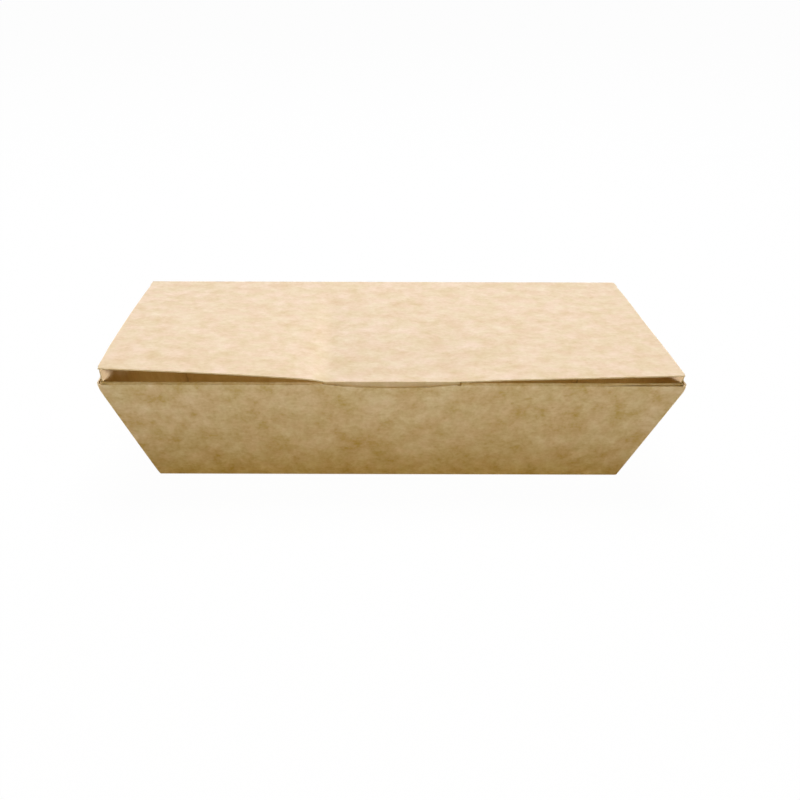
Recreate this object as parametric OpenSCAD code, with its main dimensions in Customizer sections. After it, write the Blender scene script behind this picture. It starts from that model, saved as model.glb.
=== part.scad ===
// Takeaway meal box folded from one sheet of kraft board. The tray has flared walls
// and folded web corners, and the lid is hinged along the back rim, with a side flap
// at each end and a tuck tab that goes down behind the front wall.
// Front is -Y, right is +X, and the origin is the middle of the base on the table.

/* [Tray] */
// Width of the tray across its rim
rim_w = 230; // [160:1:320]
// Depth of the tray from its front rim to its back rim
rim_d = 128; // [100:1:190]
// Height of the walls, measured straight up
wall_h = 49.5; // [42:0.5:75]
// How far each wall leans outward between the base and the rim
flare = 18.5; // [8:0.5:22]
// Thickness of the board
board_t = 0.5; // [0.4:0.05:0.6]
// Outside radius of the crease between the base and each wall
crease_r = 1.4; // [1:0.1:3]

/* [Rolled front edge] */
// How far the turned-in panel reaches down behind the front wall
roll_depth = 20; // [17:0.5:26]
// How much each end of the turned-in panel is cut back at its lower edge
roll_taper = 8; // [2:0.5:14]
// Gap between each end of the roll and the end wall beside it
roll_end_gap = 0.3; // [0.1:0.1:1]
// How far the web corners' folded tips stay below the rolled edge
web_drop = 1; // [0.5:0.1:4]
// Width of the crescent notch in the front wall
notch_w = 51; // [40:1:53]
// Depth of the crescent notch at its middle, below the rim
notch_depth = 1.8; // [1:0.1:3]

/* [Lid] */
// Gap between the rim and the underside of the lid where the lid lies flat
lid_seat = 0.4; // [0.3:0.05:0.8]
// How far the lid's front edge stands back from the front rim
lid_front_set = 0.3; // [0.1:0.1:1]
// How far each end of the lid stands in from the rim at the front corners
lid_side_set = 1; // [0.5:0.1:2]
// How far the left front corner has sprung up
left_spring = 5.4; // [0:0.1:8]
// How far the right front corner has sprung up
right_spring = 3.2; // [0:0.1:8]
// Bend of the left front edge: 1 is straight, less is arched
left_bow = 0.8; // [0.6:0.05:1.4]
// Bend of the right front edge: 1 is straight, less is arched
right_bow = 1; // [0.6:0.05:1.4]

/* [Side flaps] */
// How far the side flaps reach down from the lid
flap_reach = 15.5; // [8:0.5:18]
// Gap between a side flap and the end wall beside it
flap_gap = 0.5; // [0.3:0.1:1]
// Distance from the front rim to the front end of a flap, along the lid
flap_front = 3; // [3:0.5:12]
// Distance from the back rim to the back end of a flap, along the lid
flap_back = 8; // [6:0.5:20]
// How much each end of a flap is cut back at its lower edge
flap_taper = 6.5; // [6:0.5:14]

/* [Tuck tab] */
// Width of the tuck tab
tab_w = 52.8; // [46:0.2:60]
// How far the tuck tab reaches down along the front wall
tab_reach = 14; // [8:0.5:15]
// Radius of the tab's lower corners
tab_corner_r = 5; // [1:0.5:7]
// Gap between the tab and the front wall
tab_gap = 0.4; // [0.3:0.05:0.8]
// Gap at each side and below the tab in the turned-in panel
slot_play = 0.6; // [0.4:0.1:1.5]

/* [Hidden] */

// Board colours: the tray's walls stand in their own shade, the lid catches the light
tray_colour = [0.69, 0.59, 0.42];
lid_colour = [0.93, 0.84, 0.71];

// Overshoot of cuts and of folded edges that run into their neighbour
over = 1;
// Points on the arc of a crease, and steps of the lid's grid across and from front to back
arc_steps = 5;
lid_cols = 24;
lid_rows = 10;
flap_steps = 12;

// The walls lean by this angle, and this is their height measured along the board
lean = atan(flare / wall_h);
wall_slope = flare / wall_h;
slant_h = wall_h / cos(lean);
base_w = rim_w - 2 * flare;
base_d = rim_d - 2 * flare;

// The rolled edge goes round four layers of board, and its crown is level with the rim
roll_r = 2 * board_t;
roll_z = -roll_r * (1 + sin(lean)) / cos(lean);
slot_w = tab_w + 2 * slot_play;
notch_r = (pow(notch_w / 2, 2) + pow(notch_depth, 2)) / (2 * notch_depth);

// The web corner's crease lines, seen square to the front or the back wall
corner_lean = atan(flare / slant_h);
web_half = (90 - 2 * corner_lean) / 2;

// The lid turns about the middle of its board, along the back rim
hinge_y = rim_d / 2 - board_t / 2;
hinge_z = wall_h + lid_seat + board_t / 2;
lid_front_y = -rim_d / 2 + lid_front_set;
lid_depth = hinge_y - lid_front_y;
flap_top_x = inner_half(wall_h) - flap_gap;

// Half width between the end walls' inner faces at a height
function inner_half(z) = rim_w / 2 - (wall_h - z) * wall_slope - board_t / cos(lean);

// How far the lid has sprung up from flat at a point on its plan
function spring_across(x) =
    let (u = max(0, (abs(x) - tab_w / 2) / (rim_w / 2 - lid_side_set - tab_w / 2)))
    x < 0 ? left_spring * pow(u, left_bow) : right_spring * pow(u, right_bow);
function spring_along(y) = 1 - pow(1 - (hinge_y - y) / lid_depth, 2);
function spring(x, y) = spring_across(x) * spring_along(y);

// Half width of the lid panel, which narrows a little toward the front
function lid_half(y) = rim_w / 2 - lid_side_set * (hinge_y - y) / lid_depth;

// One wall's outline in section, with the crease to the base as an arc
function section(half, inset, r, top) =
    let (
        foot = half - inset / cos(lean),
        arc = [for (i = [0:arc_steps])
            let (a = -90 + (90 - lean) * i / arc_steps, z = inset + r)
            [foot + wall_slope * z - r / cos(lean) + r * cos(a), z + r * sin(a)]],
        edge = concat(arc, [[foot + wall_slope * top, top]])
    )
    concat(edge, [for (i = [len(edge) - 1:-1:0]) [-edge[i][0], edge[i][1]]]);

// A block bounded by the base and the four leaning walls, moved in by inset
module flared_block(inset, r, top) {
    intersection() {
        rotate([90, 0, 0])
            linear_extrude(2 * rim_d, center = true)
                polygon(section(base_w / 2, inset, r, top));
        rotate([90, 0, 90])
            linear_extrude(2 * rim_w, center = true)
                polygon(section(base_d / 2, inset, r, top));
    }
}

// Places a child on the front wall: X runs along it, Y goes inward through the board
// and Z goes up its slope, from the outer face at the rim
module on_front_wall() {
    translate([0, -rim_d / 2, wall_h])
        rotate([lean, 0, 0])
            children();
}

// Stands an outline that is drawn in the wall's plane on the layers from y0 to y1
module layer(y0, y1) {
    translate([0, y1, 0])
        rotate([90, 0, 0])
            linear_extrude(y1 - y0)
                children();
}

// One folded web corner: two layers of board in a triangle from the corner's foot
module web_corner() {
    edge_in = board_t / 2;
    foot = [base_w / 2 - edge_in, -slant_h + edge_in];
    head = [rim_w / 2 + roll_z * flare / slant_h - edge_in, roll_z];
    tip_z = roll_z - web_drop;
    tip = [foot[0] + (tip_z - foot[1]) * tan(corner_lean - web_half), tip_z];
    layer(board_t / 2, 3 * board_t)
        polygon([foot, head, tip]);
}

// The rolled edge and the panel that it carries behind the front wall
module front_roll() {
    half_w = inner_half(wall_h - 2 * roll_r) - roll_end_gap;
    low_half_w = half_w - (roll_depth + roll_z) * flare / slant_h - roll_taper;
    difference() {
        union() {
            translate([0, roll_r, roll_z])
                rotate([90, 0, 90])
                    linear_extrude(2 * half_w, center = true)
                        difference() {
                            circle(roll_r, $fn = 48);
                            circle(roll_r - board_t, $fn = 48);
                            translate([-2 * roll_r, -2 * roll_r])
                                square([4 * roll_r, 2 * roll_r]);
                        }
            layer(2 * roll_r - board_t, 2 * roll_r)
                polygon([[-half_w, roll_z], [half_w, roll_z],
                         [low_half_w, -roll_depth], [-low_half_w, -roll_depth]]);
        }
        tab_slot();
    }
}

// The room that the tuck tab needs in the roll and in the turned-in panel
module tab_slot() {
    slot_low = -(tab_reach + slot_play);
    translate([-slot_w / 2, board_t, slot_low])
        cube([slot_w, 3 * roll_r, roll_r - slot_low]);
    translate([-slot_w / 2, -over, roll_z])
        cube([slot_w, roll_r + over, 2 * roll_r - roll_z]);
}

// What is cut off the front wall's top: the strip that the roll takes the place of,
// and the crescent that gives the finger a hold on the tab
module front_cuts() {
    roll_half_w = inner_half(wall_h) + board_t / 2;
    on_front_wall() {
        for (side = [-1, 1])
            translate([side > 0 ? tab_w / 2 : -roll_half_w, -over, roll_z])
                cube([roll_half_w - tab_w / 2, board_t + 2 * over, 2 * roll_r - roll_z]);
        translate([0, board_t + over, notch_r - notch_depth])
            rotate([90, 0, 0])
                cylinder(r = notch_r, h = board_t + 2 * over, $fn = 360);
    }
}

module tray() {
    color(tray_colour) {
        difference() {
            flared_block(0, crease_r, wall_h);
            flared_block(board_t, crease_r - board_t, wall_h + over);
            front_cuts();
        }
        on_front_wall() {
            front_roll();
            web_corner();
            mirror([1, 0, 0])
                web_corner();
        }
        mirror([0, 1, 0])
            on_front_wall() {
                web_corner();
                mirror([1, 0, 0])
                    web_corner();
            }
    }
}

// A thin plate between two grids of points that lie face to face
module plate(upper, lower) {
    rows = len(upper);
    cols = len(upper[0]);
    function at(side, r, c) = (side * rows + r) * cols + c;
    function both(a, b, c, d) = [[a, b, c], [a, c, d]];
    faces = [
        for (r = [0:rows - 2]) for (c = [0:cols - 2])
            each both(at(0, r, c), at(0, r + 1, c), at(0, r + 1, c + 1), at(0, r, c + 1)),
        for (r = [0:rows - 2]) for (c = [0:cols - 2])
            each both(at(1, r, c), at(1, r, c + 1), at(1, r + 1, c + 1), at(1, r + 1, c)),
        for (r = [0:rows - 2])
            each both(at(0, r, 0), at(1, r, 0), at(1, r + 1, 0), at(0, r + 1, 0)),
        for (r = [0:rows - 2])
            each both(at(0, r, cols - 1), at(0, r + 1, cols - 1),
                      at(1, r + 1, cols - 1), at(1, r, cols - 1)),
        for (c = [0:cols - 2])
            each both(at(0, 0, c), at(0, 0, c + 1), at(1, 0, c + 1), at(1, 0, c)),
        for (c = [0:cols - 2])
            each both(at(0, rows - 1, c), at(1, rows - 1, c),
                      at(1, rows - 1, c + 1), at(0, rows - 1, c + 1))
    ];
    polyhedron([for (grid = [upper, lower]) for (row = grid) each row], faces, 6);
}

// The lid panel, flat along the hinge and at the tab and sprung up at the front corners
module lid_panel() {
    function grid(dz) = [for (r = [0:lid_rows])
        let (y = lid_front_y + lid_depth * r / lid_rows)
        [for (c = [0:lid_cols])
            let (x = lid_half(y) * (2 * c / lid_cols - 1))
            [x, y, hinge_z + spring(x, y) + dz]]];
    plate(grid(board_t / 2), grid(-board_t / 2));
}

// One side flap, from the lid's end edge down beside the end wall
module side_flap(side) {
    front_y = -rim_d / 2 + flap_front;
    back_y = rim_d / 2 - flap_back;
    function grid(dx) = [for (r = [0:flap_steps])
        let (
            u = r / flap_steps,
            top_y = front_y + (back_y - front_y) * u,
            low_y = top_y + flap_taper * (1 - 2 * u),
            top_z = hinge_z + spring(side * flap_top_x, top_y),
            low_z = top_z - flap_reach
        )
        [[side * (flap_top_x - dx), top_y, top_z],
         [side * (inner_half(low_z) - flap_gap - dx), low_y, low_z]]];
    if (side > 0)
        plate(grid(0), grid(board_t));
    else
        plate(grid(board_t), grid(0));
}

// The tuck tab, with its lower corners rounded
module tuck_tab() {
    y0 = board_t + tab_gap;
    top = (hinge_z - wall_h - y0 * sin(lean)) / cos(lean);
    on_front_wall()
        layer(y0, y0 + board_t)
            union() {
                translate([-tab_w / 2, tab_corner_r - tab_reach])
                    square([tab_w, tab_reach - tab_corner_r + top]);
                translate([tab_corner_r - tab_w / 2, -tab_reach])
                    square([tab_w - 2 * tab_corner_r, tab_reach + top]);
                for (side = [-1, 1])
                    translate([side * (tab_w / 2 - tab_corner_r), tab_corner_r - tab_reach])
                        circle(tab_corner_r, $fn = 64);
            }
}

module lid() {
    color(lid_colour) {
        lid_panel();
        tuck_tab();
        for (side = [-1, 1])
            side_flap(side);
        translate([0, hinge_y, hinge_z])
            rotate([0, 90, 0])
                cylinder(d = board_t, h = rim_w, center = true, $fn = 24);
    }
}

tray();
lid();
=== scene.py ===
import math

import bpy
from mathutils import Matrix, Vector


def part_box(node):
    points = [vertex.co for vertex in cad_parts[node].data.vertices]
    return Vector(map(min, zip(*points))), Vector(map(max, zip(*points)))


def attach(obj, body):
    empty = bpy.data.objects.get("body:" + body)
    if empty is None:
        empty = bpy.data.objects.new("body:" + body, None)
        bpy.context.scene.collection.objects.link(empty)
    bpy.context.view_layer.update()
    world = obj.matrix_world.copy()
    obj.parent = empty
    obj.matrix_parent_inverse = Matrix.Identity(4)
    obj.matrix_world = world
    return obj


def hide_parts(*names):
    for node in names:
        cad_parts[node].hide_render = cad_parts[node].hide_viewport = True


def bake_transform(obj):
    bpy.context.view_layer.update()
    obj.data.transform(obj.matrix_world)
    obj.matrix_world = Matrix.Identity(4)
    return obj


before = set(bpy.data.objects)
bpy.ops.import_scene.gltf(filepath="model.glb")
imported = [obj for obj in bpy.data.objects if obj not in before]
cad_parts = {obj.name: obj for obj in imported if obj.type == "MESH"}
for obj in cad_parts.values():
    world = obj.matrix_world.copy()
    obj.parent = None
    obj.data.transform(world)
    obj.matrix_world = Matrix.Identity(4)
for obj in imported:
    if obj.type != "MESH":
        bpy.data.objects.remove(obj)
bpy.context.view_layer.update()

# The photograph's view. The camera stands low in front of the box, a little left of its
# middle, and looks down on the lid. Its lens shift keeps the box where the picture has it.
IMAGE_PX = 800
SENSOR_MM = 36
FOCAL_PX = 1044.8
CENTRE_X_PX = 350.8
CAMERA_PLACE = (-0.0160, -0.4362, 0.2087)
NEAREST, FARTHEST = 0.01, 100
LOOK_DOWN, TURN, ROLL = (math.radians(a) for a in (24.032, -0.012, 0.163))

lens = bpy.data.cameras.new("camera")
lens.sensor_width = SENSOR_MM
lens.lens = FOCAL_PX * SENSOR_MM / IMAGE_PX
lens.shift_x = (IMAGE_PX / 2 - CENTRE_X_PX) / IMAGE_PX
lens.clip_start, lens.clip_end = NEAREST, FARTHEST
camera = bpy.data.objects.new("camera", lens)
camera.matrix_world = (
    Matrix.Translation(CAMERA_PLACE)
    @ Matrix.Rotation(TURN, 4, "Z")
    @ Matrix.Rotation(math.pi / 2 - LOOK_DOWN, 4, "X")
    @ Matrix.Rotation(ROLL, 4, "Z")
)
bpy.context.scene.collection.objects.link(camera)
bpy.context.scene.camera = camera
bpy.context.scene.view_settings.view_transform = "Standard"

# The tray: base, flared walls and the front wall's rolled edge, folded from one sheet of
# unbleached kraft board, half a millimetre thick. The walls stand on pressed creases, and the
# front wall turns back over its top into a panel inside, open where the lid's tab goes down.
MM = 0.001
tray_low, tray_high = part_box("tray")
rim_w = (tray_high.x - tray_low.x) / MM
rim_d = (tray_high.y - tray_low.y) / MM
wall_h = tray_high.z / MM
flare = 18.5
board_t = 0.5
lean = math.atan2(flare, wall_h)
wall_slope = flare / wall_h
base_crease_r = 0.9
foot_corner_r, corner_r = 0.3, 0.7
BASE_RINGS = (0.6, 0.86, 0.985)
crease_wear, rim_wear, roll_wear = (0.4, 0.6), 0.8, 0.6
BASE_CREASE_STEPS, WALL_ROWS, CORNER_STEPS = 4, 20, 5
row_shift = 0.13
END_STEPS, BACK_STEPS = 28, 40
ROLL_COLS, NOTCH_COLS, notch_step, mark_slack = 34, 18, 0.05, 0.01
back_top = wall_h - 0.2
tab_half, slot_half, roll_end = 26.4, 27.0, 113.2
notch_lip, notch_drop, notch_end = 0.45, 1.7, 0.2
roll_drop = {"left": 0.62, "right": 0.96}
corner_drop, corner_drop_from, corner_drop_run = 0.96, 104, 5
front_pillow, end_pillow = 0.18, 0.25
front_ripple, front_ripple_rate, front_ripple_start = 0.05, 0.043, 1.3
end_ripple, end_ripple_rate, end_ripple_start = 0.06, 4.3, 0.4
corner_bend = {"left": 0.2, "right": 0.1}
corner_bend_w = 6.0
corner_out, corner_grow = {"left": 0.42, "right": 0.60}, {"left": 0.35, "right": 0.9}
corner_press = {"left": 0.50, "right": 0.65}
press_start = 0.93
end_out_from, end_out_run = 0.55, 0.45
end_pull_from, end_pull_run = 0.8, 0.2
# where the rolled edge starts to part from the wall, where it has parted, and how far
split = {"left": (-107.0, -110.5, 0.6), "right": (66.0, 103.0, 0.9)}
# the rolled edge's section, as distances inward from the wall's face and up its slope
strip_end, roll_centre, roll_r = (0.86, -0.58), (1.203, -1.30), 0.797
ROLL_STEPS = 9
inner_panel_rows = (-5.0, -10.0, -14.6, -20.0)
roll_taper, roll_straight = 8.0, 60.0


def smooth(t):
    """0 up to t = 0, 1 from t = 1, and an even bend between them."""
    t = min(1.0, max(0.0, t))
    return t * t * (3 - 2 * t)


def along_front_wall(x, inward, up):
    """A point x along the front wall, inward through the board, and up its slope."""
    y = -rim_d / 2 + inward * math.cos(lean) - up * math.sin(lean)
    return (x, y, wall_h + inward * math.sin(lean) + up * math.cos(lean))


def side_of(x):
    return "left" if x < 0 else "right"


def corner_shift(side, height):
    """How far a front corner stands out sideways, from the foot (0) to the rim (1)."""
    pressed = smooth((height - press_start) / (1 - press_start))
    out = corner_out[side] * height ** corner_grow[side]
    return out * (1 - pressed) - corner_press[side] * pressed


def front_wave(x, height):
    """How far the front wall stands back from its plane: it is never quite flat."""
    pillow = front_pillow * math.cos(math.pi / 2 * x / roll_end) * math.sin(math.pi * height)
    from_end = (abs(x) - roll_end + corner_bend_w) / corner_bend_w
    bend = corner_bend[side_of(x)] * smooth(from_end) * height ** 2
    ripple = front_ripple * math.sin(front_ripple_rate * x + front_ripple_start)
    return bend - pillow - ripple * height


def end_wave(along, height):
    pillow = end_pillow * math.cos(math.pi / 2 * along) * math.sin(math.pi * height)
    ripple = end_ripple * (math.sin(end_ripple_rate * along + end_ripple_start) - 1)
    return pillow + ripple * height


def rim_of(x):
    """Height of the front wall's top edge, with the crescent notch in its middle."""
    if abs(x) > tab_half - notch_end:
        drop = roll_drop[side_of(x)]
        near_end = smooth((abs(x) - corner_drop_from) / corner_drop_run)
        return wall_h - drop - near_end * (corner_drop - drop)
    return wall_h - notch_lip - notch_drop * (1 - (x / tab_half) ** 2)


front_marks = [slot_half + (roll_end - slot_half) * k / ROLL_COLS for k in range(ROLL_COLS + 1)]
front_marks += [tab_half * k / NOTCH_COLS for k in range(NOTCH_COLS + 1)]
front_marks += [tab_half + notch_step]
front_marks += [abs(edge) for run in split.values() for edge in run[:2]]
front_marks = sorted({round(side * x, 3) for x in front_marks for side in (-1, 1)})
end_marks = [1 - 2 * k / END_STEPS for k in range(END_STEPS, -1, -1)]
FRONT, END, BACK = "front", "end", "back"
outline = [(FRONT, x) for x in front_marks]
for corner in range(4):
    steps = [(k + 0.5) / CORNER_STEPS for k in range(CORNER_STEPS)]
    outline += [((1, 1, -1, -1)[corner], 90 * (corner - 1 + s)) for s in steps]
    if corner == 0:
        outline += [("right", at) for at in end_marks]
    elif corner == 1:
        outline += [(BACK, 1 - 2 * k / BACK_STEPS) for k in range(BACK_STEPS + 1)]
    elif corner == 2:
        outline += [("left", at) for at in reversed(end_marks)]


def tray_row(half_w, half_d, radius, height, top_at=None):
    """One ring of points round the tray. top_at gives each point's height above the floor."""
    row = []
    for kind, at in outline:
        z = top_at(kind, at)
        shift = wall_slope * (z - top_at(END, 0))
        hw, hd = half_w + shift, half_d + shift
        if kind == FRONT:
            reach = hw - radius + corner_shift(side_of(at), height)
            x, y = at / roll_end * reach, -hd + front_wave(at, height)
        elif kind == BACK:
            x, y = at * (hw - radius), hd + end_wave(at, height)
        elif kind in ("left", "right"):
            near_front = smooth((-at - end_out_from) / end_out_run)
            out = end_wave(at, height) + corner_shift(kind, height) * near_front
            side = 1 if kind == "right" else -1
            near_corner = smooth((-at - end_pull_from) / end_pull_run)
            pulled = front_wave(side * roll_end, height) * near_corner
            x, y = (hw + out) * side, at * (hd - radius) + pulled
        else:
            turn = math.radians(at)
            front = math.sin(turn) < 0
            side = side_of(math.cos(turn))
            hw += corner_shift(side, height) if front else 0
            x = math.copysign(hw - radius, math.cos(turn)) + radius * math.cos(turn)
            y = math.copysign(hd - radius, math.sin(turn)) + radius * math.sin(turn)
            y += front_wave(math.copysign(roll_end, x), height) if front else 0
        row.append((x, y, z))
    return row


def wall_top(kind, at):
    if kind == FRONT:
        return rim_of(at)
    return back_top if kind == BACK else wall_h


points, faces, wear = [], [], []


def add_row(row, worn=0.0):
    points.extend(row)
    wear.extend([worn] * len(row))
    return list(range(len(points) - len(row), len(points)))


def crease_centre(rim):
    return rim / 2 - flare + wall_slope * base_crease_r - base_crease_r / math.cos(lean)


rings = []
for shrink in BASE_RINGS:
    half_w = crease_centre(rim_w) * shrink
    half_d = crease_centre(rim_d) - crease_centre(rim_w) * (1 - shrink)
    rings.append(add_row(tray_row(half_w, half_d, foot_corner_r, 0, lambda kind, at: 0)))
for k in range(BASE_CREASE_STEPS + 1):
    turn = (math.pi / 2 - lean) * k / BASE_CREASE_STEPS
    out, up = base_crease_r * math.sin(turn), base_crease_r * (1 - math.cos(turn))
    half_w, half_d = crease_centre(rim_w) + out, crease_centre(rim_d) + out
    radius = foot_corner_r + (corner_r - foot_corner_r) * k / BASE_CREASE_STEPS
    ring = tray_row(half_w, half_d, radius, 0, lambda kind, at: up)
    in_crease = math.sin(math.pi * k / BASE_CREASE_STEPS)
    rings.append(add_row(ring, crease_wear[0] + crease_wear[1] * in_crease))
foot_z = base_crease_r * (1 - math.sin(lean))
for k in range(1, WALL_ROWS + 1):
    share = k / WALL_ROWS
    share = share - row_shift * math.sin(math.pi * share) * (share - 1) * share * 4
    height_at = lambda kind, at: foot_z + (wall_top(kind, at) - foot_z) * share
    z = height_at(END, 0)
    half_w, half_d = rim_w / 2 - flare + wall_slope * z, rim_d / 2 - flare + wall_slope * z
    worn = rim_wear if k == WALL_ROWS else 0.0
    rings.append(add_row(tray_row(half_w, half_d, corner_r, share, height_at), worn))
faces.append(tuple(reversed(rings[0])))
for low, high in zip(rings, rings[1:]):
    for k in range(len(outline)):
        n = (k + 1) % len(outline)
        faces.append((low[k], low[n], high[n], high[k]))

roll_profile = [strip_end]
strip_turn = math.atan2(strip_end[1] - roll_centre[1], strip_end[0] - roll_centre[0])
for k in range(1, ROLL_STEPS + 1):
    turn = strip_turn * (1 - k / ROLL_STEPS)
    roll_profile.append((roll_centre[0] + roll_r * math.cos(turn),
                         roll_centre[1] + roll_r * math.sin(turn)))
roll_profile += [(roll_centre[0] + roll_r, up) for up in inner_panel_rows]


def roll_x(x, up):
    """The turned-in panel narrows downward, clear of the end walls."""
    if abs(x) <= roll_straight or up > roll_centre[1]:
        return x
    limit = roll_end + up * (wall_slope + roll_taper / -inner_panel_rows[-1])
    share = (abs(x) - roll_straight) / (roll_end - roll_straight)
    return math.copysign(roll_straight + (limit - roll_straight) * share, x)


def parted(x):
    """How far the rolled edge has come away from the wall's top, near the corners."""
    start, full, most = split[side_of(x)]
    return most * smooth((x - start) / (full - start))


front_edge = rings[-1][:len(front_marks)]
roll_rows = []
for k, (inward, up) in enumerate(roll_profile):
    row = []
    for i, x in enumerate(front_marks):
        edge_x, edge_y, edge_z = points[front_edge[i]]
        flat_y = along_front_wall(x, 0, (edge_z - wall_h) / math.cos(lean))[1]
        carried = max(0.0, 1 - k / (ROLL_STEPS + 1))
        place = Vector(along_front_wall(roll_x(x, up), inward, up))
        place.x += (edge_x - x) * carried
        place.y += (edge_y - flat_y) * carried if abs(x) > tab_half else 0
        row.append(tuple(place))
    roll_rows.append(add_row(row, roll_wear if k < ROLL_STEPS - 2 else 0.0))
lip = []
for x, edge, strip in zip(front_marks, front_edge, roll_rows[0]):
    lip.append(tuple(Vector(points[edge]).lerp(Vector(points[strip]), parted(x))))
lip = add_row(lip, rim_wear)
for i in range(len(front_marks) - 1):
    ends = (i, i + 1)
    if min(abs(front_marks[k]) for k in ends) >= slot_half - mark_slack:
        a, b = (lip[k] if parted(front_marks[k]) > 0 else front_edge[k] for k in ends)
        faces.append((a, b, roll_rows[0][i + 1], roll_rows[0][i]))
        for low, high in zip(roll_rows, roll_rows[1:]):
            faces.append((low[i], low[i + 1], high[i + 1], high[i]))
    else:
        low, high = roll_rows[-2], roll_rows[-1]
        faces.append((low[i], low[i + 1], high[i + 1], high[i]))


class Wire:
    """A value in a node tree. Sums and products of wires add their Math nodes."""

    def __init__(self, tree, socket=None):
        self.tree, self.socket = tree, socket

    def fill(self, socket, value):
        if isinstance(value, Wire):
            self.tree.links.new(value.socket, socket)
        else:
            socket.default_value = value

    def node(self, kind, settings=None, inputs=None, give=0):
        """Any node: its settings are made first, then its sockets. give names an output."""
        node = self.tree.nodes.new(kind)
        for name, value in (settings or {}).items():
            setattr(node, name, value)
        for name, value in (inputs or {}).items():
            shown = [s for s in node.inputs if s.enabled]
            named = [s for s in shown if s.name == name]
            self.fill(shown[name] if isinstance(name, int) else named[0], value)
        outputs = [s for s in node.outputs if s.enabled]
        named = [s for s in outputs if s.name == give]
        return Wire(self.tree, outputs[give] if isinstance(give, int) else named[0])

    def math(self, operation, *others):
        values = dict(enumerate((self, *others)))
        return self.node("ShaderNodeMath", {"operation": operation}, values)

    def __add__(self, other):
        return self.math("ADD", other)

    def __sub__(self, other):
        return self.math("SUBTRACT", other)

    def __rsub__(self, other):
        return (self * -1) + other

    def __mul__(self, other):
        return self.math("MULTIPLY", other)

    def __truediv__(self, other):
        return self.math("DIVIDE", other)

    def __pow__(self, other):
        return self.math("POWER", other)

    __radd__, __rmul__ = __add__, __mul__

    def ramp(self, start, end):
        """0 below start, 1 above end, and smooth between them."""
        values = {"Value": self, "From Min": start, "From Max": end}
        return self.node("ShaderNodeMapRange", {"interpolation_type": "SMOOTHSTEP"}, values)

    def clouds(self, size_mm, detail, roughness, stretch=(1, 1, 1), seed=0.0, give="Fac"):
        """Soft patches of about size_mm on this place, from about 0.3 to 0.7."""
        scale = [k / (size_mm * MM) for k in stretch]
        settings = {"operation": "MULTIPLY_ADD"}
        shift = (seed, seed * 1.7, seed * 2.3)
        place = self.node("ShaderNodeVectorMath", settings, {0: self, 1: scale, 2: shift})
        values = {"Vector": place, "Scale": 1.0, "Detail": detail, "Roughness": roughness}
        return self.node("ShaderNodeTexNoise", None, values, give)

    def blend(self, first, second):
        """The first colour where this wire is 0, the second where it is 1."""
        values = {"Factor": self, "A": first, "B": second}
        return self.node("ShaderNodeMix", {"data_type": "RGBA"}, values)


SWIRL_MM, CLOUD_MM, HUE_MM, GRAIN_MM, FLECK_MM, FIBRE_MM = 14, 9.0, 9.0, 1.9, 1.3, 0.9
SWIRL_REACH = (0.003, 0.003, 0.003)
HUE_EDGE, FLECK_EDGE = (0.36, 0.64), (0.70, 0.78)
GRAIN_STRETCH, FLECK_STRETCH, FIBRE_STRETCH = (0.85, 1, 1), (0.45, 1, 1), (0.25, 1, 1)
CLOUD_SHOWS, GRAIN_SHOWS, FIBRE_SHOWS, FLECK_SHOWS = 0.54, 0.20, 0.08, 0.07
WEAR_SHOWS, BUMP, BUMP_HEIGHT = 0.30, 0.25, 0.00025


def board_material(name, pink, yellow, pales, patchiness, roughness):
    """Kraft board: cloudy where the fibres lie thicker, with a fine grain of fibres."""
    material = bpy.data.materials.new(name)
    material.use_nodes = True
    shader = material.node_tree.nodes["Principled BSDF"]
    place = Wire(material.node_tree).node("ShaderNodeTexCoord", give="Object")
    swirl = place.clouds(SWIRL_MM, 1.0, 0.5, seed=2.2, give="Color")
    moved = {0: swirl, 1: SWIRL_REACH, 2: place}
    swirled = place.node("ShaderNodeVectorMath", {"operation": "MULTIPLY_ADD"}, moved)
    clouds = swirled.clouds(CLOUD_MM, 3.0, 0.75) - 0.5
    grain = place.clouds(GRAIN_MM, 3.0, 0.85, GRAIN_STRETCH, 5.3) - 0.5
    fibres = swirled.clouds(FIBRE_MM, 2.0, 0.6, FIBRE_STRETCH, 8.1) - 0.5
    hue = place.clouds(HUE_MM, 2.0, 0.6, seed=3.1).ramp(*HUE_EDGE)
    fleck = place.clouds(FLECK_MM, 1.0, 0.4, FLECK_STRETCH, 11.9).ramp(*FLECK_EDGE)
    worn = place.node("ShaderNodeAttribute", {"attribute_name": "wear"}, give="Fac")
    worn = worn * (grain * 2.0 + 0.75) * WEAR_SHOWS
    thin = clouds * CLOUD_SHOWS + grain * GRAIN_SHOWS + fibres * FIBRE_SHOWS
    thin = patchiness * thin - fleck * FLECK_SHOWS
    paler = {axis: thin * share + 1.0 for axis, share in zip("XYZ", pales)}
    paler = place.node("ShaderNodeCombineXYZ", None, paler)
    colour = worn.blend(hue.blend(pink, yellow), CUT_PALE)
    colour = place.node("ShaderNodeVectorMath", {"operation": "MULTIPLY"}, {0: colour, 1: paler})
    place.fill(shader.inputs["Base Color"], colour)
    place.fill(shader.inputs["Roughness"], fibres * 0.3 + roughness)
    shader.inputs["Specular IOR Level"].default_value = 0.3
    height = clouds * 0.6 + grain * 0.5 + fibres * 0.5
    values = {"Height": height, "Strength": BUMP, "Distance": BUMP_HEIGHT}
    place.fill(shader.inputs["Normal"], place.node("ShaderNodeBump", None, values))
    return material


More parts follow.
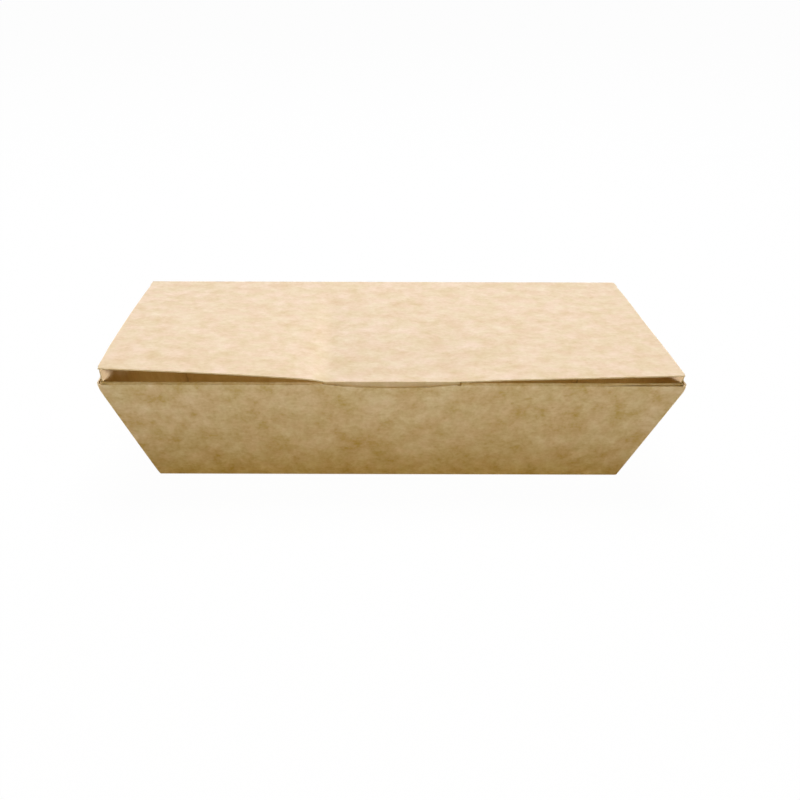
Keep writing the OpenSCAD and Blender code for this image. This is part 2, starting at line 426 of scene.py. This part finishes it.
CUT_PALE = (0.900, 0.770, 0.580, 1)
# The tray's outside and the hinge use the lid's board with less blue and nearly twice the
# patchiness. This is painted shade: the flared walls stand in shade and show their mottling more
# strongly there.
INSIDE_PALES, SHADED_OUTSIDE_PALES = (0.85, 1.15, 1.7), (0.78, 1.12, 2.2)
shaded_outside_faces = board_material("kraft_outside_shaded", (0.83, 0.635, 0.415, 1), (0.815, 0.65, 0.41, 1),
                               SHADED_OUTSIDE_PALES, 1.9, 0.8)
inside_faces = board_material("kraft_inside", (0.86, 0.66, 0.44, 1), (0.85, 0.67, 0.435, 1),
                              INSIDE_PALES, 1.0, 0.6)
cut_faces = board_material("kraft_cut_edge", (0.82, 0.66, 0.47, 1), (0.86, 0.72, 0.53, 1),
                           INSIDE_PALES, 1.5, 0.9)


SHARP_DEG = 40


def folded_board(name, points, faces, wear, thickness, outside, shape=None):
    """A board piece from its outer face: shaped, thickened inward, with pale cut edges."""
    mesh = bpy.data.meshes.new(name)
    mesh.from_pydata([[MM * v for v in p] for p in points], [], faces)
    mesh.attributes.new("wear", "FLOAT", "POINT").data.foreach_set("value", wear)
    for material in (outside, inside_faces, cut_faces):
        mesh.materials.append(material)
    piece = bpy.data.objects.new(name, mesh)
    bpy.context.scene.collection.objects.link(piece)
    if shape:
        shape(piece)
    board = piece.modifiers.new("board", "SOLIDIFY")
    board.thickness = thickness * MM
    board.offset = -1
    board.use_even_offset = True
    board.material_offset, board.material_offset_rim = 1, 2
    bpy.context.view_layer.update()
    solid = bpy.data.meshes.new_from_object(
        piece.evaluated_get(bpy.context.evaluated_depsgraph_get()))
    piece.modifiers.clear()
    piece.data = solid
    solid.polygons.foreach_set("use_smooth", [True] * len(solid.polygons))
    solid.set_sharp_from_angle(angle=math.radians(SHARP_DEG))
    return piece


def drop_loose(points, faces, *values):
    """The points that a face uses, with the faces and values renumbered to them."""
    used = sorted({k for face in faces for k in face})
    place = {old: new for new, old in enumerate(used)}
    kept = [[row[k] for k in used] for row in (points, *values)]
    return kept[0], [tuple(place[k] for k in face) for face in faces], *kept[1:]


points, faces, wear = drop_loose(points, faces, wear)
tray_board = folded_board("tray_board", points, faces, wear, board_t, shaded_outside_faces)
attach(tray_board, "tray")
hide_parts("tray")

# The web corners: where two walls meet, the sheet between them is folded double and lies
# flat against the front or the back wall, so that the tray holds liquid.
slant_h = wall_h / math.cos(lean)
corner_lean = math.atan2(flare, slant_h)
web_half = math.radians(45) - corner_lean
web_tip_up, web_head_up, web_head_in = -2.6, -1.9, 0.9
web_t, web_start = 0.42, 0.03
web_wall_gap, web_layer_gap = 0.05, 0.03
WEB_ROWS, WEB_COLS, WEB_BEND_STEPS = 10, 6, 6


def add_web(front, right):
    """One web: two layers that turn round at the fold along its free edge."""
    foot = (rim_w / 2 - flare - board_t, -slant_h + board_t)
    head = (rim_w / 2 + web_head_up * flare / slant_h - web_head_in, web_head_up)
    tip_x = foot[0] + (web_tip_up - foot[1]) * math.tan(corner_lean - web_half)
    near, far = board_t + web_wall_gap, 3 * board_t - web_layer_gap
    middle, bend_r = (near + far) / 2, (far - near) / 2
    path = [(k / WEB_COLS, near, 0) for k in range(WEB_COLS + 1)]
    for k in range(1, WEB_BEND_STEPS + 1):
        turn = math.pi * k / (WEB_BEND_STEPS + 1)
        path.append((1, middle - bend_r * math.cos(turn), bend_r * math.sin(turn)))
    path += [(1 - k / WEB_COLS, far, 0) for k in range(WEB_COLS + 1)]
    grid = []
    for r in range(WEB_ROWS + 1):
        share = web_start + (1 - web_start) * r / WEB_ROWS
        row = []
        for across, inward, past in path:
            x = foot[0] + share * (head[0] + (tip_x - head[0]) * across - foot[0]) - past
            up = foot[1] + share * (head[1] + (web_tip_up - head[1]) * across - foot[1])
            place = along_front_wall(x if right else -x, inward, up)
            row.append((place[0], place[1] if front else -place[1], place[2]))
        grid.append(add_row(row))
    for low, high in zip(grid, grid[1:]):
        for k in range(len(path) - 1):
            face = (low[k], high[k], high[k + 1], low[k + 1])
            faces.append(face if front == right else tuple(reversed(face)))


points, faces, wear = [], [], []
for front, right in ((True, True), (True, False), (False, True), (False, False)):
    add_web(front, right)
web_corners = folded_board("web_corners", points, faces, wear, web_t, inside_faces)
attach(web_corners, "tray")

# The lid: one panel with a flap folded down at each end and a tuck tab at the front, cut
# from the same sheet. It lies flat at the hinge and at the tab, and its front corners have
# sprung up, the left one more than the right.
lid_gap, lid_back_in = 0.4, 0.85
lid_top = wall_h + lid_gap + board_t
hinge_y = rim_d / 2 - board_t / 2
lid_back = hinge_y - lid_back_in
lid_front = {"left": -rim_d / 2 + 0.12, "right": -rim_d / 2 + 0.75}
tab_front = -rim_d / 2 + 0.75
fold_half_front = {"left": 114.4, "right": 114.0}
fold_half_back = {"left": 114.5, "right": 114.9}
fold_widens_from, fold_widens_run = -10, 60
tip_half = {"left": 113.5, "right": 113.4}
fold_r = 0.7
flap_front_y, flap_back_y = -rim_d / 2 + 2.2, rim_d / 2 - 8
# at each share of a flap's reach below the fold, how far in its front end stands
flap_draw_in = {
    "left": [(0.05, 1.2), (0.15, 1.1), (0.50, 0.4)],
    "right": [(0.05, 0.1), (0.50, -0.1)],
}
flap_draw_run = 5
front_shift_from, front_shift_run, front_shift_ease = 40, 24, 4
lid_edge_wear, tab_fold_bow = 0.6, 0.25
tip_row, slit, back_rows = 0.7, 0.3, (0.25, 2.5, 5)
flap_taper, flap_reach, flap_gap = 6.5, 15.2, 0.5
tab_reach, tab_gap, tab_corner_r = 14.0, 0.4, 5.0
FLAP_ROWS, TAB_COLS, PANEL_COLS = 36, 16, 28
FOLD_STEPS, FLAP_STEPS, TAB_FOLD_STEPS, TAB_ROWS = 6, 8, 5, 12


def inner_half(z):
    return rim_w / 2 - (wall_h - z) * wall_slope - board_t / math.cos(lean)


def panel_half(side, y, in_flap):
    share = smooth((y - fold_widens_from) / fold_widens_run)
    half = fold_half_front[side] + (fold_half_back[side] - fold_half_front[side]) * share
    if in_flap:
        return half - fold_r
    return tip_half[side] if y < 0 else half


def flap_draw(side, drop):
    """How far in a flap's front end stands from a straight flap, by its share of the reach."""
    marks = [(0.0, 0.0)] + flap_draw_in[side] + [(1.0, 0.0)]
    for (high, high_in), (low, low_in) in zip(marks, marks[1:]):
        if drop <= low:
            return high_in + (low_in - high_in) * (drop - high) / (low - high)
    return 0.0


lid_rows = [-rim_d / 2, -rim_d / 2 + tip_row, flap_front_y - slit]
lid_rows += [flap_front_y + (flap_back_y - flap_front_y) * k / FLAP_ROWS
             for k in range(FLAP_ROWS + 1)]
lid_rows += [flap_back_y + past for past in back_rows] + [lid_back]
first_flap, last_flap = 3, 3 + FLAP_ROWS
panel_shares = [(1, k / PANEL_COLS) for k in range(1, PANEL_COLS + 1)]
lid_cols = [(-1, s) for _, s in reversed(panel_shares)]
lid_cols += [(0, tab_half * (2 * k / TAB_COLS - 1)) for k in range(TAB_COLS + 1)] + panel_shares
points, faces, wear, hang, across, along = [], [], [], [], [], []


def add_lid_row(row, worn, hangs, x_reads, y_reads):
    """A row of the flat lid, and where the spring's rule reads each of its points."""
    hang.extend(hangs)
    across.extend(x_reads)
    along.extend((hinge_y - y) / (hinge_y + rim_d / 2) for y in y_reads)
    return add_row(row, worn)


grid = []
for r, y in enumerate(lid_rows):
    row = []
    for sign, share in lid_cols:
        side = "left" if sign < 0 else "right"
        edge = panel_half(side, y, first_flap <= r <= last_flap)
        x = share if sign == 0 else sign * (tab_half + (edge - tab_half) * share)
        front = tab_front
        if sign:
            front += (lid_front[side] - tab_front) * smooth(share * front_shift_ease)
        near_front = smooth((-y - front_shift_from) / front_shift_run)
        row.append((x, y + (front + rim_d / 2) * near_front, lid_top))
    xs, ys = [p[0] for p in row], [p[1] for p in row]
    worn = lid_edge_wear if r == 0 else 0.0
    grid.append(add_lid_row(row, worn, [0.0] * len(row), xs, ys))
for low, high in zip(grid, grid[1:]):
    for k in range(len(lid_cols) - 1):
        faces.append((low[k], low[k + 1], high[k + 1], high[k]))
for sign, edge_col in ((-1, 0), (1, len(lid_cols) - 1)):
    flap = []
    for r in range(first_flap, last_flap + 1):
        share = (lid_rows[r] - flap_front_y) / (flap_back_y - flap_front_y)
        x, y, z = points[grid[r][edge_col]]
        low_z = z - flap_reach
        low = Vector((sign * (inner_half(low_z) - flap_gap), y, low_z))
        lean_in = math.atan2(abs(x) + fold_r - abs(low.x), flap_reach)
        row, hangs = [], []
        for k in range(1, FOLD_STEPS + 1):
            turn = math.pi / 2 - (math.pi / 2 + lean_in) * k / FOLD_STEPS
            out, up = fold_r * math.cos(turn), fold_r * (math.sin(turn) - 1)
            row.append((x + sign * out, y, z + up))
        top = Vector(row[-1])
        row += [tuple(top.lerp(low, k / FLAP_STEPS)) for k in range(1, FLAP_STEPS + 1)]
        drops = [max(0.0, z - p[2]) / flap_reach for p in row]
        ends = [flap_taper * (1 - 2 * share) * d ** 3 for d in drops]
        near_front = smooth(1 - share * flap_draw_run)
        draws = [near_front * flap_draw("left" if sign < 0 else "right", d) for d in drops]
        row = [(p[0] - sign * drawn, p[1] + end, p[2]) for p, drawn, end in zip(row, draws, ends)]
        hangs = [max(0.0, (z - p[2] - fold_r) / flap_reach) for p in row]
        reads = [x] * len(row), [y] * len(row)
        flap.append([grid[r][edge_col]] + add_lid_row(row, 0.0, hangs, *reads))
        for k in flap[-1][1:FOLD_STEPS]:
            wear[k] = 1.0
    for near, far in zip(flap, flap[1:]):
        for k in range(len(near) - 1):
            face = (near[k], near[k + 1], far[k + 1], far[k])
            faces.append(face if sign > 0 else tuple(reversed(face)))

tab_cols = [k for k, col in enumerate(lid_cols) if col[0] == 0]
tab_inward = board_t + tab_gap
tab_top = (lid_top - fold_r - wall_h - tab_inward * math.sin(lean)) / math.cos(lean)
tab = [[grid[0][k] for k in tab_cols]]
fold_foot = Vector(along_front_wall(0, tab_inward, tab_top))
fold_head = Vector((0, tab_front, lid_top))
for k in range(1, TAB_FOLD_STEPS):
    turn = math.pi / 2 * k / TAB_FOLD_STEPS
    y = fold_head.y + (fold_foot.y - fold_head.y) * math.sin(turn)
    y -= tab_fold_bow * math.sin(2 * turn)
    z = fold_head.z + (fold_foot.z - fold_head.z) * (1 - math.cos(turn))
    row = [(points[grid[0][c]][0], y, z) for c in tab_cols]
    reads = [p[0] for p in row], [p[1] for p in row]
    tab.append(add_lid_row(row, 1.0, [0.0] * len(row), *reads))
for k in range(TAB_ROWS + 1):
    up = tab_top - (tab_reach + tab_top) * math.sin(math.pi / 2 * k / TAB_ROWS)
    past = max(0.0, tab_corner_r - tab_reach - up)
    narrow = 1 - (tab_corner_r - math.sqrt(tab_corner_r ** 2 - past ** 2)) / tab_half
    row = [along_front_wall(points[grid[0][c]][0] * narrow, tab_inward, up) for c in tab_cols]
    tab.append(add_lid_row(row, 0.0, [0.0] * len(row), [0.0] * len(row), [p[1] for p in row]))
for low, high in zip(tab, tab[1:]):
    for k in range(len(tab_cols) - 1):
        faces.append((high[k], high[k + 1], low[k + 1], low[k]))

SPRING = {
    "Left Spring": 5.4 * MM, "Right Spring": 2.8 * MM, "Left Bow": 0.6, "Right Bow": 0.9,
    "Tab Half": tab_half, "Half Width": rim_w / 2 - 1, "Tab Dip": 0.12 * MM,
    "Wall Slope": wall_slope, "Wave": 0.35 * MM, "Wave Seed": 4.0,
}


def spring_lid(piece):
    """Bends the flat lid by a rule: it rises from the hinge to its front corners."""
    tree = bpy.data.node_groups.new("lid_spring", "GeometryNodeTree")
    tree.interface.new_socket("Geometry", in_out="INPUT", socket_type="NodeSocketGeometry")
    for name, value in SPRING.items():
        tree.interface.new_socket(name, in_out="INPUT", socket_type="NodeSocketFloat")
    tree.interface.new_socket("Geometry", in_out="OUTPUT", socket_type="NodeSocketGeometry")
    sizes = tree.nodes.new("NodeGroupInput")
    size = {s.name: Wire(tree, s) for s in sizes.outputs if s.name}
    start = Wire(tree)

    def read(name):
        return start.node("GeometryNodeInputNamedAttribute", {"data_type": "FLOAT"}, {"Name": name})

    x, back_to_front, hanging = read("across"), read("along"), read("hang")
    share = (x.math("ABSOLUTE") - size["Tab Half"]) / (size["Half Width"] - size["Tab Half"])
    share = share.math("MAXIMUM", 0.0)
    on_left = x.math("LESS_THAN", 0.0)
    left = size["Left Spring"] * share ** size["Left Bow"]
    right = size["Right Spring"] * share ** size["Right Bow"]
    rise = (right + on_left * (left - right)) * (1 - (1 - back_to_front) ** 2.0)
    dip = size["Tab Dip"] * (1 - share.ramp(0.0, 0.25)) * back_to_front.ramp(0.55, 1.0)
    place = start.node("GeometryNodeInputPosition")
    wave = place.node("ShaderNodeTexNoise", {"noise_dimensions": "4D"},
                      {"Vector": place, "W": size["Wave Seed"], "Scale": 14.0, "Detail": 1.0})
    on_panel = back_to_front.ramp(0.02, 0.25)
    wave = (wave - 0.5) * size["Wave"] * on_panel * (1 - hanging.ramp(0.0, 0.1))
    sideways = hanging ** 0.4 * rise * size["Wall Slope"] * (1 - on_left * 2)
    offset = start.node("ShaderNodeCombineXYZ", None, {"X": sideways, "Z": rise + wave - dip})
    settled = start.node("GeometryNodeSetPosition", None,
                         {"Geometry": Wire(tree, sizes.outputs["Geometry"]), "Offset": offset})
    whole = start.node("GeometryNodeRealizeInstances", None, {"Geometry": settled})
    faced = start.node("GeometryNodeSetMaterial", None,
                       {"Geometry": whole, "Material": lid_faces})
    tree.links.new(faced.socket, tree.nodes.new("NodeGroupOutput").inputs[0])
    rule = piece.modifiers.new("lid_spring", "NODES")
    rule.node_group = tree
    for item in tree.interface.items_tree:
        if item.name in SPRING:
            rule[item.identifier] = SPRING[item.name]


# The lid keeps the board's lit colour. The tray's outside is a copy of it with painted shade.
LID_PALES = (0.80, 1.10, 2.0)
lid_faces = board_material("kraft_lid", (0.825, 0.64, 0.459, 1), (0.805, 0.65, 0.441, 1),
                           LID_PALES, 1.0, 0.8)
points, faces, wear, hang, across, along = drop_loose(points, faces, wear, hang, across, along)


def shape_lid(piece):
    for name, values in (("hang", hang), ("across", across), ("along", along)):
        piece.data.attributes.new(name, "FLOAT", "POINT").data.foreach_set("value", values)
    spring_lid(piece)


lid_board = folded_board("lid_board", points, faces, wear, board_t, lid_faces, shape_lid)
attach(lid_board, "lid")
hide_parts("lid")

# The hinge crease: the strip of the sheet between the back wall and the lid, pressed
# thinner than the board so that it folds.
hinge_t, hinge_r, hinge_out, hinge_end = 0.4, 0.6, 0.05, 0.3
HINGE_COLS, HINGE_STEPS = 46, 10
hinge_low_y = rim_d / 2 - wall_slope * (wall_h - back_top)
points, faces, wear, grid = [], [], [], []
profile = [(hinge_low_y, back_top)]
for k in range(HINGE_STEPS + 1):
    turn = math.pi / 2 * k / HINGE_STEPS
    profile.append((hinge_low_y + hinge_out - hinge_r * (1 - math.cos(turn)),
                    lid_top - hinge_r * (1 - math.sin(turn))))
profile.append((lid_back, lid_top))
for k in range(HINGE_COLS + 1):
    f = 1 - 2 * k / HINGE_COLS
    row = []
    for y, z in profile:
        share = smooth((z - back_top) / (lid_top - back_top))
        row.append((f * (rim_w / 2 - hinge_end), y + (1 - share) * end_wave(f, 1), z))
    grid.append(add_row(row, 1.0))
for near, far in zip(grid, grid[1:]):
    for k in range(len(profile) - 1):
        faces.append((near[k], far[k], far[k + 1], near[k + 1]))
hinge_crease = folded_board("hinge_crease", points, faces, wear, hinge_t, shaded_outside_faces)
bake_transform(hinge_crease)

# The floor is plain and flat, white to the camera but for the box's soft shadow. It gives
# light back to the flared walls as a pale mat round the box on a darker table would.
FLOOR_HALF = 12
FLOOR_GLOW = 0.98
floor_mesh = bpy.data.meshes.new("floor")
corners = [(-1, -1), (1, -1), (1, 1), (-1, 1)]
corners = [(FLOOR_HALF * x, FLOOR_HALF * y, 0) for x, y in corners]
floor_mesh.from_pydata(corners, [], [(0, 1, 2, 3)])
floor = bpy.data.objects.new("floor", floor_mesh)
bpy.context.scene.collection.objects.link(floor)
WHITE, TABLE, MAT = (1, 1, 1, 1), (0.15, 0.16, 0.12, 1), (0.90, 0.88, 0.85, 1)
MAT_EDGE = (0.055, 0.065)
floor_faces = bpy.data.materials.new("floor")
floor_faces.use_nodes = True
tree = floor_faces.node_tree
tree.nodes.clear()


def seen_directly(tree):
    """1 for the camera, and for what metal and glass show; 0 for light on the object."""
    rays = [Wire(tree).node("ShaderNodeLightPath", give=name)
            for name in ("Is Camera Ray", "Is Glossy Ray", "Is Transmission Ray")]
    return rays[0].math("MAXIMUM", rays[1]).math("MAXIMUM", rays[2])


seen = seen_directly(tree)
place = seen.node("ShaderNodeTexCoord", give="Object")
half_base = (rim_w / 2 - flare) * MM, (rim_d / 2 - flare) * MM, 0
past = place.node("ShaderNodeVectorMath", {"operation": "ABSOLUTE"}, {0: place})
past = place.node("ShaderNodeVectorMath", {"operation": "SUBTRACT"}, {0: past, 1: half_base})
past = place.node("ShaderNodeVectorMath", {"operation": "MAXIMUM"}, {0: past, 1: (0, 0, 0)})
past = place.node("ShaderNodeVectorMath", {"operation": "LENGTH"}, {0: past}, "Value")
ground = past.ramp(*MAT_EDGE).blend(MAT, TABLE)
matte = seen.node("ShaderNodeBsdfDiffuse", None, {"Color": seen.blend(ground, WHITE)})
bright = seen.node("ShaderNodeEmission", None, {"Color": WHITE, "Strength": 1.0})
both = seen.node("ShaderNodeMixShader", None, {0: seen * FLOOR_GLOW, 1: matte, 2: bright})
tree.links.new(both.socket, tree.nodes.new("ShaderNodeOutputMaterial").inputs["Surface"])
floor_mesh.materials.append(floor_faces)

# The studio: a big soft lamp overhead, a warm one in front, a low narrow beam at each side
# that slips under the lid to its flaps, and dim light all round. A faint warm lamp in the
# closed box stands in for light that comes through the thin lid.
LAMPS = {
    # width and height, beam in degrees, watts, place, aim, colour
    "top_lamp": (0.80, 0.80, 180, 20.5, (0, 0.40, 1.35), (0, 0, 0.04), (0.93, 0.94, 1.0)),
    "front_lamp": (0.50, 0.40, 180, 2.3, (0, -1.05, 0.50), (0, 0, 0.04), (1.00, 0.74, 0.05)),
    "inner_lamp": (0.18, 0.09, 180, 0.0135, (0, 0, 0.046), (0, 0, 0), (1.0, 0.87, 0.40)),
    "left_lamp": (0.30, 0.04, 10, 0.18, (-1.45, -0.33, 0.105), (0, -0.06, 0.12), (1.0, 0.98, 0.95)),
    "right_lamp": (0.30, 0.04, 10, 0.17, (1.45, -0.33, 0.105), (0, -0.06, 0.12), (1.0, 0.98, 0.95)),
}
for name, (wide, high, beam, watts, place, aim, colour) in LAMPS.items():
    lamp = bpy.data.lights.new(name, "AREA")
    lamp.shape, lamp.size, lamp.size_y = "RECTANGLE", wide, high
    lamp.energy, lamp.color, lamp.spread = watts, colour, math.radians(beam)
    stand = bpy.data.objects.new(name, lamp)
    stand.location = place
    stand.visible_camera = False
    stand.rotation_euler = (Vector(aim) - Vector(place)).to_track_quat("-Z", "Y").to_euler()
    bpy.context.scene.collection.objects.link(stand)

world = bpy.data.worlds.new("studio")
bpy.context.scene.world = world
world.use_nodes = True
ROOM = (0.04, 0.038, 0.034, 1)
background = world.node_tree.nodes["Background"]
seen = seen_directly(world.node_tree)
seen.fill(background.inputs["Color"], seen.blend(ROOM, WHITE))
background.inputs["Strength"].default_value = 1.0
